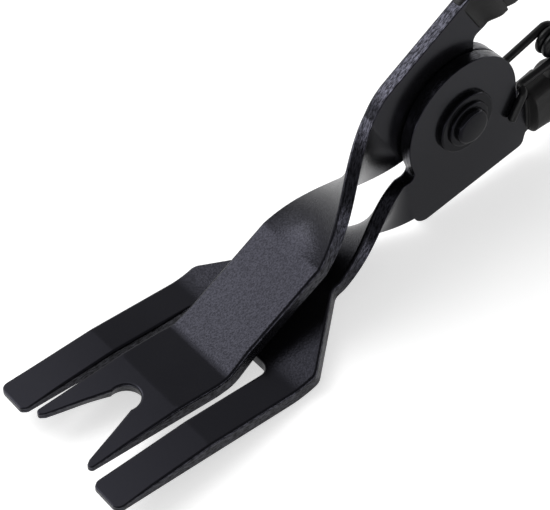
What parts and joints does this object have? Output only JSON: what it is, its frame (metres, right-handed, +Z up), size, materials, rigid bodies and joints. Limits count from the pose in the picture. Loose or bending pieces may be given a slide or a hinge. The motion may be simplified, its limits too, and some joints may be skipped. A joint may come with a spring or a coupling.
{
  "type": "trim clip removal pliers",
  "caption": "Reverse-action pliers with a twisted fork jaw and a notched jaw that rises out of it to lever trim clips from a panel.",
  "frame": {"origin": "middle of the footprint, on the surface that the heel of the fork and the end of the lower grip rest on", "axes": "+X from the jaws toward the handles, +Y along the pivot toward the notched lever, +Z up"},
  "size_m": [0.2378, 0.0424, 0.0873],
  "materials": {
    "lever_black": "satin black oxide over stamped steel, grainy on the necks",
    "rivet_black": "satin black, worn bright along the rims",
    "spring_wire": "oiled black spring wire",
    "grip_sleeve": "matt moulded sleeve"
  },
  "bodies": {
    "fork_lever": {"fork_jaw_lever": "lever_black", "lower_grip": "grip_sleeve", "pivot_rivet": "rivet_black", "front_washer": "rivet_black", "return_spring": "spring_wire"},
    "v_lever": {"v_jaw_lever": "lever_black", "upper_grip": "grip_sleeve"}
  },
  "joints": [
    {"name": "jaw_pivot", "type": "hinge", "parent": "fork_lever", "child": "v_lever", "pos_m": [-0.00619, 0, 0.02494], "axis": [0, 1, 0], "range_deg": [0, 22], "stiffness_Nm_per_rad": 1.2, "springref_deg": -28.65, "deforming": ["return_spring"]}
  ]
}
